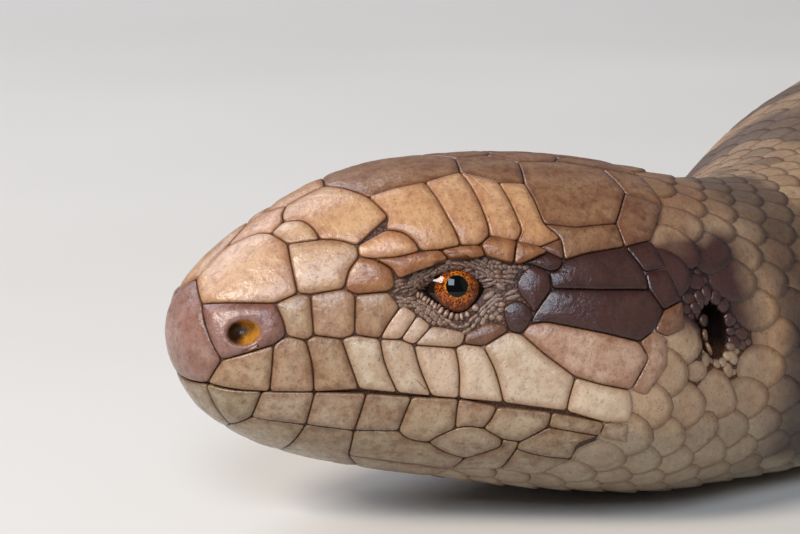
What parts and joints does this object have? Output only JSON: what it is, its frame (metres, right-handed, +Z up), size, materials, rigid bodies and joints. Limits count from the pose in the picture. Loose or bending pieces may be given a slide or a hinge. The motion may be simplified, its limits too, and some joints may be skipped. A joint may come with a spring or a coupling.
{
  "type": "blue-tongued skink",
  "caption": "Life-size still model of a blue-tongued skink lying on its belly, head turned to its right, mouth closed.",
  "frame": {"origin": "on the floor under the middle of the belly, at the centre of the flat that the belly rests on", "axes": "+Z up, -X along the trunk towards the snout, -Y to the animal's left"},
  "size_m": [0.4324, 0.1449, 0.0415],
  "materials": {
    "scaly_skin": "satin",
    "eye": "gloss",
    "claw_horn": "satin"
  },
  "bodies": {
    "root": {"claw_foot_left_1": "claw_horn", "claw_foot_left_2": "claw_horn", "claw_foot_left_3": "claw_horn", "claw_foot_left_4": "claw_horn", "claw_foot_left_5": "claw_horn", "claw_foot_right_1": "claw_horn", "claw_foot_right_2": "claw_horn", "claw_foot_right_3": "claw_horn", "claw_foot_right_4": "claw_horn", "claw_foot_right_5": "claw_horn", "claw_hand_left_1": "claw_horn", "claw_hand_left_2": "claw_horn", "claw_hand_left_3": "claw_horn", "claw_hand_left_4": "claw_horn", "claw_hand_left_5": "claw_horn", "claw_hand_right_1": "claw_horn", "claw_hand_right_2": "claw_horn", "claw_hand_right_3": "claw_horn", "claw_hand_right_4": "claw_horn", "claw_hand_right_5": "claw_horn", "eardrum_left": "scaly_skin", "eardrum_right": "scaly_skin", "eye_left": "eye", "eye_right": "eye", "foot_left": "scaly_skin", "foot_right": "scaly_skin", "forearm_left": "scaly_skin", "forearm_right": "scaly_skin", "hand_left": "scaly_skin", "hand_right": "scaly_skin", "head": "scaly_skin", "lower_jaw": "scaly_skin", "neck": "scaly_skin", "shank_left": "scaly_skin", "shank_right": "scaly_skin", "tail_base": "scaly_skin", "tail_middle": "scaly_skin", "tail_tip": "scaly_skin", "thigh_left": "scaly_skin", "thigh_right": "scaly_skin", "trunk_front": "scaly_skin", "trunk_middle": "scaly_skin", "trunk_rear": "scaly_skin", "upper_arm_left": "scaly_skin", "upper_arm_right": "scaly_skin"}
  },
  "joints": []
}
